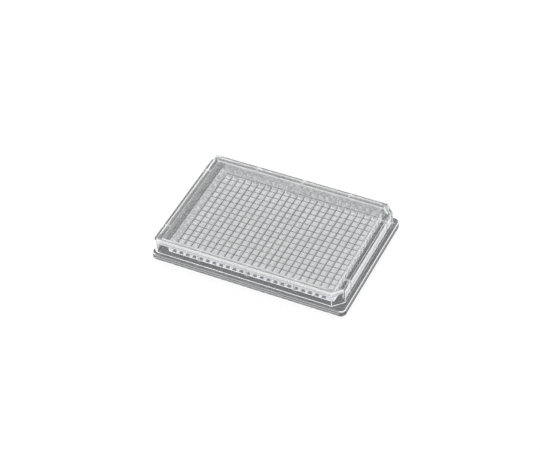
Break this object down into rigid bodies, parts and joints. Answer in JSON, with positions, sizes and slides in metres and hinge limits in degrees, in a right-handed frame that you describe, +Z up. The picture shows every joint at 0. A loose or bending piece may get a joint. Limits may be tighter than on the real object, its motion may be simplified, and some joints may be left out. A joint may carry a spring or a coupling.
{
  "type": "well plate",
  "caption": "Clear shallow microwell plate with square wells and a loose lid resting on its rim.",
  "frame": {"origin": "middle of the footprint, on the surface that the plate stands on", "axes": "+X along a row of wells from column 1 to column 24, +Y towards row A, +Z up out of the wells"},
  "size_m": [0.1278, 0.0854, 0.0162],
  "materials": {
    "plate_polystyrene": "clear moulded polystyrene",
    "lid_polystyrene": "clear moulded polystyrene"
  },
  "bodies": {
    "root": {"plate": "plate_polystyrene", "lid": "lid_polystyrene"}
  },
  "joints": []
}
